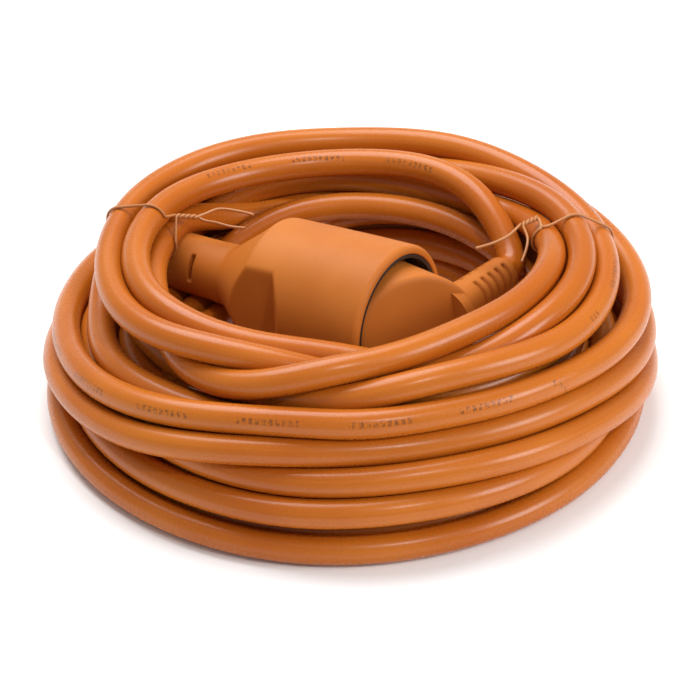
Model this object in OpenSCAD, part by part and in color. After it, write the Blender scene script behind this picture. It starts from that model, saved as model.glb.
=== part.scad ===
// Moulded mains extension cord, 10 m, coiled and tied, with its angled plug
// pushed into its own in-line socket. Millimetres, +Z up, floor at z = 0.
//
// The two moulded ends share one frame, the socket axis: its x points out of
// the socket's mouth, its y follows the plug's boot, its z is across the pins.

/* [Coil] */
// Outer radius of the coil, over the turns that stand widest
coil_outer_r = 95; // [90:1:130]
// Height of the coil, from the floor to the top of its upper turns
coil_h = 55.5; // [52:0.5:75]
// Radial depth of the wound section at the floor
coil_depth = 39; // [28:1:39]
// Radial depth of the hollow that the two moulded ends lie in
coil_pocket = 16; // [10:1:16]

/* [Cord] */
// Outside diameter of the cord's sheath
cord_d = 8.7; // [7.6:0.1:9.4]
// Outside diameter of one insulated core
core_d = 2.9; // [2.4:0.1:3.2]
// Diameter of a core's bunched copper strands
strand_d = 1.7; // [1.2:0.1:2]

/* [Placing of the moulded ends] */
// Middle of the socket's mouth, across
mouth_x = 14.5; // [0:0.5:20]
// Middle of the socket's mouth, front to back
mouth_y = -20.5; // [-24:0.5:-10]
// Middle of the socket's mouth, above the floor
mouth_z = 38; // [36:0.5:46]
// Turn of the socket axis about Z
axis_yaw = -34; // [-40:1:-28]
// Rise of the socket axis towards its mouth
axis_tilt = 4.7; // [0:0.1:8]
// Roll of both ends about the socket axis
axis_roll = -4; // [-10:1:10]

/* [Socket] */
// Outside diameter of the socket's mouth
mouth_d = 47.6; // [45:0.1:56]
// Outside diameter where the barrel ends and the shoulder starts
barrel_end_d = 44.8; // [44:0.1:50]
// Length of the barrel, from the mouth
barrel_l = 44; // [42:0.5:56]
// Length of the shoulder between the barrel and the neck
shoulder_l = 17; // [14:0.5:24]
// Diameter of the neck where it leaves the shoulder
neck_root_d = 18.4; // [16:0.1:20]
// Diameter of the neck's end
neck_end_d = 12.4; // [11.5:0.1:14]
// Length of the neck's straight part
neck_l = 29; // [24:0.5:40]
// Bend radius of the neck's soft tail, at its middle
tail_r = 18; // [14:1:24]
// Angle that the neck's soft tail turns through
tail_angle = 43; // [20:1:50]
// Distance between the two grip flats
flats_across = 34; // [32:0.5:42]
// Slope of the wall at the mouth end of each flat
flat_wall_angle = 48; // [35:1:60]
// Distance from the mouth to the start of the flats
flats_from = 27.5; // [26:0.5:32]
// Bore of the recess that takes the plug
recess_d = 39.6; // [39.4:0.1:41]
// Depth of the recess
recess_h = 17.5; // [17:0.1:19]
// Wall of the hard liner around the recess
liner_wall = 1.3; // [1:0.1:1.6]
// Depth of the soft lip in front of the liner
lip_h = 1.5; // [1:0.1:2.5]
// Diameter of the contact holder behind the recess
holder_d = 29; // [28.5:0.1:30]

/* [Plug] */
// Diameter of the plug's face
plug_d = 38.4; // [37:0.1:39.2]
// Height of the wide part behind the face
plug_disc_h = 11; // [9:0.5:13]
// Diameter of the plug's body where it leaves the wide part
body_root_d = 34; // [32:0.1:35]
// Diameter of the plug's body at its back
body_back_d = 28.6; // [27:0.1:31]
// How far the back stands out of the mouth on the boot's side
back_high = 17; // [15:0.5:18]
// How far the back stands out of the mouth on the far side
back_low = 4; // [3:0.5:8]
// Distance of the boot's axis out of the mouth
boot_x = 9.3; // [9:0.1:10.2]
// Distance from the socket axis to the boot's end
boot_end = 44; // [38:0.5:47]
// Diameter of the boot's root
boot_root_d = 14.6; // [13:0.1:15]
// Diameter of the boot's end
boot_end_d = 11.4; // [10.8:0.1:12.5]
// Number of grooves along the boot
groove_n = 5; // [3:1:6]
// Distance from groove to groove
groove_pitch = 4; // [3:0.1:4.5]
// Width of a groove
groove_w = 1.3; // [1:0.1:2]
// Depth of a groove
groove_h = 1.2; // [0.6:0.1:1.3]
// Width of the plain band along the boot between its grooves
band_w = 4.4; // [3:0.1:6]

/* [Contacts] */
// Diameter of a pin
pin_d = 4.8; // [4.7:0.05:4.9]
// Length of a pin in front of the plug's face
pin_l = 19; // [18:0.1:19.5]
// Distance between the two pins
pin_spacing = 19; // [19:0.1:19.6]
// Thickness of the sheet that the earth parts are cut from
earth_t = 0.8; // [0.6:0.1:1]
// Width of an earth strip
earth_w = 4.6; // [4:0.1:5]
// Wall of a contact sleeve
sleeve_wall = 0.8; // [0.5:0.1:1]

/* [Ties] */
// Diameter of the coated tie wire
tie_d = 1; // [0.8:0.1:1.4]

/* [Fits] */
// Radial clearance of a pin in its sleeve
pin_fit = 0.06; // [0.02:0.01:0.1]
// Gap between the plug's face and the bottom of the recess
face_gap = 0.3; // [0.2:0.05:0.5]
// Gap between a plug's earth strip and a socket's earth clip
earth_gap = 0.3; // [0.2:0.05:0.5]
// Gap between pieces that are moulded or clipped around each other
seat_gap = 0.05; // [0.02:0.01:0.1]

/* [Hidden] */
round_fn = 96;
small_fn = 32;
cord_sides = 12;

cord_r = cord_d / 2;
core_r = core_d / 2;
strand_r = strand_d / 2;
tie_r = tie_d / 2;

// Socket, along its axis from the mouth at 0 towards the cord at -x
mouth_r = mouth_d / 2;
barrel_end_r = barrel_end_d / 2;
neck_root_r = neck_root_d / 2;
neck_end_r = neck_end_d / 2;
neck_from = barrel_l + shoulder_l;
neck_to = neck_from + neck_l;
mouth_edge_r = 1.8;
recess_r = recess_d / 2;
liner_r = recess_r + liner_wall;
face_plate_h = 2;
liner_back = recess_h + face_plate_h;
clip_back = liner_back - 0.2;
holder_r = holder_d / 2;
holder_back = recess_h + pin_l + 2;
cover_h = 2;
cover_back = holder_back + cover_h;
flat_half = flats_across / 2;
room_r = holder_r - 1.2;
room_l = 4;
sheath_from = cover_back + 12;

// Contacts
pin_r = pin_d / 2;
pin_z = pin_spacing / 2;
pin_tip = recess_h - face_gap + pin_l;
sleeve_in_r = pin_r + pin_fit;
sleeve_r = sleeve_in_r + sleeve_wall;
sleeve_from = liner_back + 0.5;
sleeve_to = holder_back - 1;
crimp_r = core_r + 0.35;
crimp_in_r = strand_r + seat_gap;
crimp_l = 4;
crimp_to = cover_back + 1 + crimp_l;

// Plug
plug_r = plug_d / 2;
plug_face = -(recess_h - face_gap);
disc_back = plug_face + plug_disc_h;
body_root_r = body_root_d / 2;
body_back_r = body_back_d / 2;
bridge_r = 13.4;
bridge_h = 7.5;
bridge_back = plug_face + bridge_h;
tail_h = 4.5;
plug_room_r = bridge_r - 1;
plug_room_back = bridge_back + tail_h + 6.7;
core_room_r = 8.5;
core_room_y = 4.5;
plug_sheath_from = plug_room_r - 1;
strip_in = plug_r - 3.2;
strip_out = strip_in + earth_t;
clip_in = strip_out + earth_gap;
notch_w = earth_w + 2;

// ---- the socket axis ----

function rolled(p) = [p[0],
    p[1] * cos(axis_roll) - p[2] * sin(axis_roll),
    p[1] * sin(axis_roll) + p[2] * cos(axis_roll)];
function tilted(p) = [p[0] * cos(axis_tilt) - p[2] * sin(axis_tilt), p[1],
    p[0] * sin(axis_tilt) + p[2] * cos(axis_tilt)];
function yawed(p) = [p[0] * cos(axis_yaw) - p[1] * sin(axis_yaw),
    p[0] * sin(axis_yaw) + p[1] * cos(axis_yaw), p[2]];
// A direction, and a point, given on the socket axis
function axis_dir(p) = yawed(tilted(rolled(p)));
function axis_point(p) = [mouth_x, mouth_y, mouth_z] + axis_dir(p);

module on_axis() {
    translate([mouth_x, mouth_y, mouth_z])
        rotate([axis_roll, -axis_tilt, axis_yaw])
            children();
}

// Turns a profile of [radius, distance along x] about the socket axis
module spin(profile, fn = round_fn) {
    rotate([0, 90, 0]) rotate_extrude($fn = fn) polygon(profile);
}

// A plain cylinder along x from one distance to another
module bar(r, from, to, y = 0, z = 0, fn = small_fn) {
    translate([from, y, z]) rotate([0, 90, 0]) cylinder(r = r, h = to - from, $fn = fn);
}

// ---- tubes swept along a route ----

function unit(v) = v / norm(v);
function heading(p, i, first, last) =
    i == 0 ? unit(first) :
    i == len(p) - 1 ? unit(last) :
    unit(unit(p[i] - p[i - 1]) + unit(p[i + 1] - p[i]));
function ring_at(c, t, r, n, ref) =
    let (side = unit(cross(ref, t)), up = cross(t, side))
    [for (k = [0 : n - 1]) c + r * (cos(360 * k / n) * side + sin(360 * k / n) * up)];

// A closed tube of n sides, with a flat cap at each end square to its heading.
// The direction ref is one that the route never points along.
module tube(p, first, last, r, n = cord_sides, ref = [0, 0, 1]) {
    rings = len(p);
    polyhedron(
        points = [for (i = [0 : rings - 1])
            each ring_at(p[i], heading(p, i, first, last), r, n, ref)],
        faces = concat(
            [[for (k = [n - 1 : -1 : 0]) k]],
            [for (i = [0 : rings - 2], k = [0 : n - 1])
                let (a = i * n, b = (k + 1) % n) [a + k, a + b, a + n + b, a + n + k]],
            [[for (k = [0 : n - 1]) (rings - 1) * n + k]]),
        convexity = 4);
}

// A thin wire through points, square to its first and last stretch
module wire(p, r, n = 10, ref = [0, 0, 1]) {
    tube(p, p[1] - p[0], p[len(p) - 1] - p[len(p) - 2], r, n, ref);
}

// ---- cord ----

// Where the cord leaves the neck's bent tail, and which way it points there
tail_end = axis_point([-neck_to - tail_r * sin(tail_angle), tail_r * (1 - cos(tail_angle)), 0]);
tail_dir = axis_dir([-cos(tail_angle), sin(tail_angle), 0]);
// Where the cord leaves the boot, and which way it points there
lead_gap = 0.3;
boot_dir = axis_dir([0, 1, 0]);
boot_exit = axis_point([boot_x, boot_end, 0]) + lead_gap * boot_dir;

// Routes from each moulded end to the turns of the coil
socket_route = [[-69.5, 48.5, 25.5], [-69.5, 56, 23], [-65, 63, 20], [-58, 69, 18]];
socket_route_end_dir = [0.78, 0.6, -0.15];
plug_route = [[51.5, 19.5, 41], [50.5, 28, 45.5], [44, 38, 48.5], [34, 47, 49]];
plug_route_end_dir = [-0.8, 0.6, 0];

// Outline of the wound section: inner foot, outer side, top, then the hollow
coil_in_r = coil_outer_r - coil_depth;
pocket_r = coil_in_r + coil_pocket;
edge = cord_r;
coil_profile = [
    [coil_in_r + edge, 0], [coil_outer_r - 3 - edge, 0], [coil_outer_r - 3, edge],
    [coil_outer_r, edge * 2], [coil_outer_r, coil_h * 0.4],
    [coil_outer_r - 6, coil_h * 0.62], [coil_outer_r - 14, coil_h * 0.82],
    [coil_outer_r - 22, coil_h], [coil_in_r + edge, coil_h],
    [coil_in_r, coil_h - edge], [coil_in_r, coil_h - 2 * edge],
    [pocket_r, coil_h - 3 * edge], [pocket_r, coil_h * 0.3],
    [coil_in_r, coil_h * 0.18], [coil_in_r, edge]];

module coil() {
    color("#C87432")
        difference() {
            rotate_extrude($fn = round_fn) polygon(coil_profile);
            on_axis() neck_envelope(lead_gap);
        }
}

module socket_lead() {
    color("#C87432")
        tube(concat([tail_end], socket_route), tail_dir, socket_route_end_dir, cord_r);
}

module plug_lead() {
    color("#C87432")
        tube(concat([boot_exit], plug_route), boot_dir, plug_route_end_dir, cord_r);
}

// ---- socket ----

// Shoulder: falls in a straight slope that eases into the neck
shoulder_steps = 8;
function shoulder_r(s) =
    neck_root_r + (barrel_end_r - neck_root_r) * (1 - s) * (1 - 0.15 * s * (1 - s));
shoulder_profile = [for (i = [0 : shoulder_steps])
    let (s = i / shoulder_steps) [shoulder_r(s), -barrel_l - shoulder_l * s]];
mouth_edge = [for (a = [0 : 15 : 90])
    [mouth_r - mouth_edge_r * (1 - sin(a)), -mouth_edge_r * (1 - cos(a))]];
socket_profile = concat(
    [[recess_r, 0]], mouth_edge, shoulder_profile,
    [[neck_end_r, -neck_to], [cord_r + seat_gap, -neck_to],
     [cord_r + seat_gap, -sheath_from], [room_r - 3, -cover_back - room_l - 4],
     [room_r, -cover_back - room_l], [room_r, -cover_back],
     [holder_r + seat_gap, -cover_back], [holder_r + seat_gap, -liner_back - seat_gap],
     [liner_r + seat_gap, -liner_back - seat_gap], [liner_r + seat_gap, -lip_h],
     [recess_r, -lip_h]]);

// One quarter turn of round bar that starts at the neck's end and bends to +y
module neck_tail(r) {
    translate([-neck_to, tail_r, 0])
        rotate([0, 0, -90])
            rotate([0, 0, -tail_angle])
                rotate_extrude(angle = tail_angle, $fn = round_fn)
                    translate([tail_r, 0]) circle(r = r, $fn = small_fn);
}

// The neck and its tail with a gap all round, for cutting the coil
module neck_envelope(gap) {
    bar(neck_root_r + gap, -neck_to, -neck_from + 10);
    neck_tail(neck_end_r + gap);
}

module grip_flat() {
    wall_l = (mouth_r - flat_half) / tan(flat_wall_angle);
    far = neck_from;
    linear_extrude(mouth_d + 2, center = true)
        polygon([[-flats_from, -mouth_r], [-flats_from - wall_l, -flat_half],
                 [-far, -flat_half], [-far, -mouth_r - 2], [-flats_from, -mouth_r - 2]]);
}

module neck_slots() {
    slot_w = 1.4;
    slot_in = cord_r + 1;
    for (i = [0 : 1], side = [-1, 1])
        translate([-neck_from - 11 - i * 9.5, 0, 0])
            rotate([side < 0 ? -20 : 160, 0, 0])
                translate([-slot_w / 2, -neck_root_r, -4])
                    cube([slot_w, neck_root_r - slot_in, 8]);
}

module socket_shell() {
    color("#C87432")
        on_axis() {
            difference() {
                spin(socket_profile);
                grip_flat();
                mirror([0, 1, 0]) grip_flat();
                neck_slots();
            }
            difference() {
                neck_tail(neck_end_r);
                neck_tail(cord_r + seat_gap);
            }
        }
}

module socket_insert() {
    clip_slot = earth_t + 2 * seat_gap;
    color("#2B2622")
        on_axis()
            difference() {
                spin([[recess_r, -lip_h - seat_gap], [liner_r, -lip_h - seat_gap],
                      [liner_r, -liner_back], [holder_r, -liner_back],
                      [holder_r, -holder_back], [0, -holder_back],
                      [0, -recess_h], [recess_r, -recess_h]]);
                for (side = [-1, 1]) {
                    bar(sleeve_in_r + 0.3, -liner_back - 1, -recess_h + 1, 0, side * pin_z);
                    bar(sleeve_r + seat_gap, -holder_back - 1, -sleeve_from + seat_gap, 0,
                        side * pin_z);
                    translate([-liner_back - 1,
                               side > 0 ? clip_in - seat_gap : -clip_in - clip_slot + seat_gap,
                               -earth_w / 2 - seat_gap])
                        cube([liner_back, clip_slot, earth_w + 2 * seat_gap]);
                }
                translate([-holder_back - 1, -clip_in - clip_slot, -earth_w / 2 - seat_gap])
                    cube([holder_back + 1 - clip_back + earth_t + seat_gap,
                          2 * (clip_in + clip_slot), earth_w + 2 * seat_gap]);
            }
}

module socket_cover() {
    color("#3A332C")
        on_axis()
            difference() {
                bar(holder_r, -cover_back, -holder_back - seat_gap, fn = round_fn);
                for (z = [-pin_z, 0, pin_z])
                    bar(crimp_r + seat_gap, -cover_back - 1, -holder_back + 1, 0, z);
            }
}

// Sleeve for one pin, with the crimp that holds its core
module sleeve_contact(z) {
    color("#C9A24A")
        on_axis()
            difference() {
                union() {
                    bar(sleeve_r, -sleeve_to, -sleeve_from, 0, z);
                    bar(crimp_r, -crimp_to, -sleeve_to, 0, z);
                }
                bar(sleeve_in_r, -pin_tip - 1, -sleeve_from + 1, 0, z);
                bar(crimp_in_r, -crimp_to - 1, -crimp_to + crimp_l, 0, z);
            }
}

// Both side clips of the socket, cut from one strip, with the earth crimp
module socket_earth_clip() {
    color("#C9A24A")
        on_axis() {
            for (side = [-1, 1])
                translate([-clip_back, side > 0 ? clip_in : -clip_in - earth_t, -earth_w / 2])
                    cube([clip_back - lip_h - 5, earth_t, earth_w]);
            translate([-clip_back, -clip_in - earth_t, -earth_w / 2])
                cube([earth_t, 2 * (clip_in + earth_t), earth_w]);
            difference() {
                bar(crimp_r, -crimp_to, -clip_back + 0.1, 0, 0);
                bar(crimp_in_r, -crimp_to - 1, -crimp_to + crimp_l, 0, 0);
            }
        }
}

// One insulated core from its crimp to the end of the sheath
module socket_core(z, tint) {
    spread = core_r + 0.25;
    end_y = z == 0 ? -spread * 1.1 : spread * 0.6;
    end_z = sign(z) * spread;
    color(tint)
        on_axis()
            wire([[-crimp_to - seat_gap, 0, z], [-crimp_to - 1.2, 0, z],
                  [-sheath_from + 1.6, end_y, end_z], [-sheath_from, end_y, end_z]], core_r);
}

module socket_strands() {
    color("#B87333")
        on_axis()
            for (z = [-pin_z, 0, pin_z]) bar(strand_r, -crimp_to, -crimp_to + crimp_l, 0, z);
}

module socket_sheath_end() {
    steps = 4;
    bend = [for (i = [0 : steps]) let (a = tail_angle * i / steps)
        axis_point([-neck_to - tail_r * sin(a), tail_r * (1 - cos(a)), 0])];
    color("#C87432")
        tube(concat([axis_point([-sheath_from, 0, 0])], bend), axis_dir([-1, 0, 0]), tail_dir,
             cord_r);
}

// ---- plug ----

// The body's back slopes from the boot's side down to the far side
module slanted_back() {
    reach = 2 * mouth_r;
    rise = (back_high - back_low) / (2 * body_back_r - 6);
    linear_extrude(reach, center = true)
        polygon([[back_low - rise * (reach - body_back_r), -reach],
                 [back_low + rise * (2 * body_back_r - 6), body_back_r - 6],
                 [back_high, reach], [reach, reach], [reach, -reach]]);
}

// Room behind the carrier for the crimps, and the way from it to the boot
module plug_room() {
    bar(plug_room_r, bridge_back - 0.01, plug_room_back, fn = round_fn);
    bar(core_room_r, plug_room_back - 1, boot_x - 1, core_room_y, 0);
    translate([boot_x, core_room_y + 0.5, 0])
        rotate([-90, 0, 0]) cylinder(r = cord_r + seat_gap, h = boot_end, $fn = small_fn);
}

module plug_body() {
    color("#CB7836")
        on_axis()
            difference() {
                union() {
                    bar(plug_r, plug_face, disc_back, fn = round_fn);
                    difference() {
                        spin([[0, disc_back - 1], [body_root_r, disc_back - 1],
                              [body_root_r, disc_back], [body_back_r, back_high], [0, back_high]]);
                        slanted_back();
                    }
                }
                bar(bridge_r + seat_gap, plug_face - 1, bridge_back, fn = round_fn);
                plug_room();
                boot_cone(seat_gap);
                for (side = [-1, 1])
                    translate([plug_face - 1, side > 0 ? strip_in - seat_gap : -mouth_r, -notch_w / 2])
                        cube([plug_disc_h + 1.01, mouth_r - strip_in + seat_gap, notch_w]);
                translate([bridge_back - earth_t - seat_gap, -strip_out - seat_gap, -notch_w / 2])
                    cube([earth_t + 2 * seat_gap, 2 * (strip_out + seat_gap), notch_w]);
            }
}

// The boot's outer cone, along y from inside the body to the boot's end
boot_from = 11.5;
module boot_cone(gap = 0) {
    translate([boot_x, boot_from - gap, 0])
        rotate([-90, 0, 0])
            cylinder(r1 = boot_root_d / 2 + gap, r2 = boot_end_d / 2 + gap,
                     h = boot_end - boot_from + gap, $fn = round_fn);
}

module plug_boot() {
    first_groove = boot_end - 4 - (groove_n - 1) * groove_pitch;
    color("#CB7836")
        on_axis()
            difference() {
                boot_cone();
                translate([boot_x, boot_from - 1, 0])
                    rotate([-90, 0, 0])
                        cylinder(r = cord_r + seat_gap, h = boot_end, $fn = small_fn);
                for (i = [0 : groove_n - 1])
                    translate([boot_x, first_groove + i * groove_pitch, 0])
                        difference() {
                            rotate([90, 0, 0]) difference() {
                                cylinder(r = boot_root_d, h = groove_w, center = true,
                                         $fn = round_fn);
                                cylinder(r = boot_end_d / 2 - groove_h +
                                             (groove_n - 1 - i) * 0.25,
                                         h = groove_w + 1, center = true, $fn = round_fn);
                            }
                            translate([0, 0, boot_root_d / 2])
                                cube([band_w, groove_w + 1, boot_root_d], center = true);
                            translate([0, 0, -boot_root_d / 2])
                                cube([band_w, groove_w + 1, boot_root_d], center = true);
                        }
            }
}

// Hard carrier that both pins and the earth strip are fixed in
module pin_bridge() {
    color("#2B2622")
        on_axis()
            difference() {
                bar(bridge_r, plug_face, bridge_back - earth_t - 2 * seat_gap, fn = round_fn);
                for (z = [-pin_z, pin_z])
                    bar(pin_r + seat_gap, plug_face - 1, bridge_back + 1, 0, z);
            }
}

// Round pin with a domed tip, and the crimp behind the carrier
module pin(z) {
    color("#C6C6C2")
        on_axis()
            difference() {
                union() {
                    bar(pin_r, -pin_tip + pin_r, bridge_back + 0.5, 0, z);
                    intersection() {
                        translate([-pin_tip + pin_r, 0, z]) sphere(r = pin_r, $fn = small_fn);
                        bar(pin_r + 1, -pin_tip - 1, -pin_tip + pin_r, 0, z);
                    }
                    bar(crimp_r, bridge_back + 0.5, bridge_back + tail_h, 0, z);
                }
                bar(crimp_in_r, bridge_back + 1, bridge_back + tail_h + 1, 0, z);
            }
}

// Both side strips of the plug, cut from one strip, with the earth crimp
module plug_earth_strip() {
    back = bridge_back - seat_gap;
    color("#C6C6C2")
        on_axis() {
            for (side = [-1, 1])
                translate([plug_face + 1.5, side > 0 ? strip_in : -strip_out, -earth_w / 2])
                    cube([back - plug_face - 1.5, earth_t, earth_w]);
            translate([back - earth_t, -strip_out, -earth_w / 2])
                cube([earth_t, 2 * strip_out, earth_w]);
            difference() {
                bar(crimp_r, back - 0.2, bridge_back + tail_h, -5, 0);
                bar(crimp_in_r, bridge_back + 1, bridge_back + tail_h + 1, -5, 0);
            }
        }
}

// One insulated core from its crimp behind the pins to the boot
module plug_core(y, z, tint) {
    spread = core_r + 0.25;
    end_x = z == 0 ? boot_x + spread * 1.1 : boot_x - spread * 0.6;
    from = bridge_back + tail_h + seat_gap;
    color(tint)
        on_axis()
            wire([[from, y, z], [from + 1.4, y, z],
                  [end_x, plug_sheath_from - 2.2, sign(z) * spread],
                  [end_x, plug_sheath_from, sign(z) * spread]], core_r);
}

module plug_strands() {
    from = bridge_back + 1;
    to = bridge_back + tail_h + seat_gap;
    color("#B87333")
        on_axis() {
            for (z = [-pin_z, pin_z]) bar(strand_r, from, to, 0, z);
            bar(strand_r, from, to, -5, 0);
        }
}

module plug_sheath_end() {
    color("#C87432")
        on_axis()
            translate([boot_x, plug_sheath_from, 0])
                rotate([-90, 0, 0])
                    cylinder(r = cord_r, h = boot_end - plug_sheath_from, $fn = small_fn);
}

// ---- ties ----

// Coated wire: one end runs in from its tail and round the turns, the other
// lies beside it and ends in a tail of its own
module tie(loop, tail) {
    wire(loop, tie_r, 8, [0, 1, 0]);
    wire(tail, tie_r, 8, [0, 0, 1]);
}

module left_tie() {
    color("#CB8040")
        tie([[-29, 20, 51], [-34, 22, 51], [-41, 24, 51], [-46, 22, 51], [-51, 21, 51.5],
             [-59, 19, 56.6], [-69, 18, 56.6], [-76, 18, 51], [-69, 18, 45], [-59, 19, 45],
             [-54, 20, 48]],
            [[-51, 19, 49], [-47, 20, 49.2], [-42, 18, 49.5], [-37, 15, 50], [-32, 13, 50.5]]);
}

module right_tie() {
    color("#CB8040")
        tie([[38, 4, 49], [46, 8, 49], [52, 15, 50], [56, 18, 51], [60, 18, 53], [68, 16, 57],
             [76, 14, 54], [83, 12, 46], [76, 14, 41], [67, 16, 43], [62, 17, 48]],
            [[58, 16.5, 49.5], [55, 13, 48.5], [54, 7, 47], [52, 2, 45]]);
}

coil();
socket_lead();
plug_lead();
socket_shell();
socket_insert();
socket_cover();
sleeve_contact(pin_z);  // socket_line_contact
sleeve_contact(-pin_z);  // socket_neutral_contact
socket_earth_clip();
socket_core(pin_z, "#6B4226");  // socket_line_core
socket_core(-pin_z, "#2F6FB0");  // socket_neutral_core
socket_core(0, "#8DB33A");  // socket_earth_core
socket_strands();
socket_sheath_end();
plug_body();
plug_boot();
pin_bridge();
pin(pin_z);  // line_pin
pin(-pin_z);  // neutral_pin
plug_earth_strip();
plug_core(0, pin_z, "#6B4226");  // plug_line_core
plug_core(0, -pin_z, "#2F6FB0");  // plug_neutral_core
plug_core(-5, 0, "#8DB33A");  // plug_earth_core
plug_strands();
plug_sheath_end();
left_tie();
right_tie();
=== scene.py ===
"""Looks of a coiled, tied mains extension cord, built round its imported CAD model.

Lengths are metres. The coil is settled in millimetres, where its sizes are easy to read,
and turned into metres when its mesh is made.
"""

import math

import bmesh
import bpy
import mathutils
import numpy as np
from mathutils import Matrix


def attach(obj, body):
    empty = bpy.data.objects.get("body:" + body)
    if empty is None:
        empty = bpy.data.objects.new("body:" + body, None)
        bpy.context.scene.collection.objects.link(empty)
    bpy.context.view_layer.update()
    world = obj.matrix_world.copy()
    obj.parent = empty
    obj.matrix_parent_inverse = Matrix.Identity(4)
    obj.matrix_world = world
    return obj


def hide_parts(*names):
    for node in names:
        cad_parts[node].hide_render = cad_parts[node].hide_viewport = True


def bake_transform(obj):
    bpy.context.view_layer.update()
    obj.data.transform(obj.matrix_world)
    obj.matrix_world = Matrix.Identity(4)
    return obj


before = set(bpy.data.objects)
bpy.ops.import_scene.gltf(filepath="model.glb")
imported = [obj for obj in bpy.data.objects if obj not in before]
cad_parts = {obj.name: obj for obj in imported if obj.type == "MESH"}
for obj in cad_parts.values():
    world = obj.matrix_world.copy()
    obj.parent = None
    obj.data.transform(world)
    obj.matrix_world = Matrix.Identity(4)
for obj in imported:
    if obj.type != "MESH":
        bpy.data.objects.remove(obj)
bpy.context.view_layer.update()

MM = 0.001

# ---------------------------------------------------------------- camera

CAMERA_DISTANCE = 0.9
CAMERA_ELEVATION = math.radians(34)
CAMERA_LENS = 148.1
CAMERA_ASIDE = -0.0003
CAMERA_RAISE = 0.0119


def make_camera():
    """A long lens that looks down on the coil from the front."""
    data = bpy.data.cameras.new("studio_camera")
    data.lens = CAMERA_LENS
    data.sensor_width = 36.0
    data.clip_start = 0.01
    camera = bpy.data.objects.new("studio_camera", data)
    bpy.context.scene.collection.objects.link(camera)
    back = CAMERA_DISTANCE * math.cos(CAMERA_ELEVATION)
    up = CAMERA_DISTANCE * math.sin(CAMERA_ELEVATION)
    lift_y = CAMERA_RAISE * math.sin(CAMERA_ELEVATION)
    lift_z = CAMERA_RAISE * math.cos(CAMERA_ELEVATION)
    camera.location = (CAMERA_ASIDE, -back + lift_y, up + lift_z)
    camera.rotation_euler = (math.pi / 2 - CAMERA_ELEVATION, 0.0, 0.0)
    bpy.context.scene.camera = camera


make_camera()

# ---------------------------------------------------------------- sizes, in millimetres

CORD_D = 8.7
CORD_R = CORD_D / 2
COIL_OUTER_R = 95.0
COIL_H = 55.5

MOUTH = np.array([14.5, -20.5, 38.0])
AXIS_YAW = math.radians(-34)
AXIS_TILT = math.radians(4.7)
AXIS_ROLL = math.radians(-4)

MOUTH_R = 23.8
BARREL_END_R = 22.4
BARREL_L = 44.0
SHOULDER_L = 17.0
NECK_ROOT_R = 9.2
NECK_END_R = 6.2
NECK_L = 29.0
NECK_FROM = BARREL_L + SHOULDER_L
NECK_TO = NECK_FROM + NECK_L
TAIL_R = 18.0
TAIL_ANGLE = math.radians(43)

BOOT_X = 9.3
BOOT_END = 44.0
BOOT_ROOT_R = 7.3
BOOT_END_R = 5.7
PLUG_TRAVEL = 10.0


def turn_x(angle):
    """The turn about x: y and z mix by the angle's cosine and sine."""
    c, s = math.cos(angle), math.sin(angle)
    return np.array([[1, 0, 0], [0, c, -s], [0, s, c]])


def turn_y(angle):
    """The turn about y: z and x mix by the angle's cosine and sine."""
    c, s = math.cos(angle), math.sin(angle)
    return np.array([[c, 0, s], [0, 1, 0], [-s, 0, c]])


def turn_z(angle):
    """The turn about z: x and y mix by the angle's cosine and sine."""
    c, s = math.cos(angle), math.sin(angle)
    return np.array([[c, -s, 0], [s, c, 0], [0, 0, 1]])


# Columns are the socket axis out of the mouth, the boot's way, and across the pins
AXIS = turn_z(AXIS_YAW) @ turn_y(-AXIS_TILT) @ turn_x(AXIS_ROLL)


def axis_dir(p):
    """A direction given on the socket axis."""
    return AXIS @ np.asarray(p, float)


def axis_point(p):
    """A point given on the socket axis."""
    return MOUTH + axis_dir(p)


TAIL_END = axis_point([-NECK_TO - TAIL_R * math.sin(TAIL_ANGLE),
                       TAIL_R * (1 - math.cos(TAIL_ANGLE)), 0])
TAIL_DIR = axis_dir([-math.cos(TAIL_ANGLE), math.sin(TAIL_ANGLE), 0])
BOOT_DIR = axis_dir([0, 1, 0])
LEAD_GAP = 0.3
BOOT_EXIT = axis_point([BOOT_X, BOOT_END, 0]) + LEAD_GAP * BOOT_DIR

# ---------------------------------------------------------------- the cord's way

# Routes from each moulded end, as in the CAD model
SOCKET_ROUTE = [[-69.5, 48.5, 25.5], [-69.5, 56, 23], [-65, 63, 20], [-58, 69, 18]]
PLUG_ROUTE = [[34, 47, 49], [44, 38, 48.5], [50.5, 28, 45.5], [51.5, 19.5, 41]]

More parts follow.
